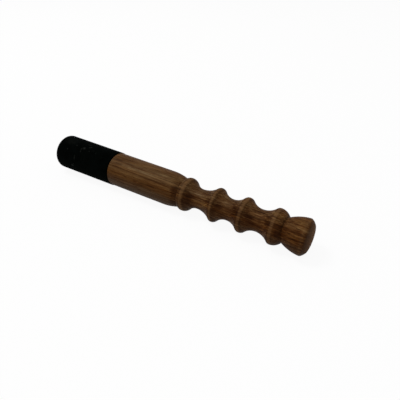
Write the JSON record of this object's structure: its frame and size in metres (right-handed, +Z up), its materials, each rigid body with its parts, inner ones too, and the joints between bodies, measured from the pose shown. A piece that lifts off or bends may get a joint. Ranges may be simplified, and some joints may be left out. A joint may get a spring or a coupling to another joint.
{
  "type": "singing bowl mallet",
  "caption": "Turned hardwood mallet with a finger-cove grip and a suede-covered striking end, for striking or rubbing the rim of a singing bowl.",
  "frame": {"origin": "on the plane the mallet lies on, under the middle of its bounding box", "axes": "+X along the mallet from the suede striking end to the knob, dipping 0.45 degrees to the knob as it lies; +Z up from the plane it lies on; +Y to the far side, where the sleeve's seam is"},
  "size_m": [0.19, 0.0242, 0.0241],
  "materials": {
    "handle_wood": "brown hardwood with dark streaks along the grain, oiled to a low satin sheen",
    "suede": "black suede, matt nap"
  },
  "bodies": {
    "root": {"turned_handle": "handle_wood", "suede_sleeve": "suede", "suede_end_disc": "suede"}
  },
  "joints": []
}
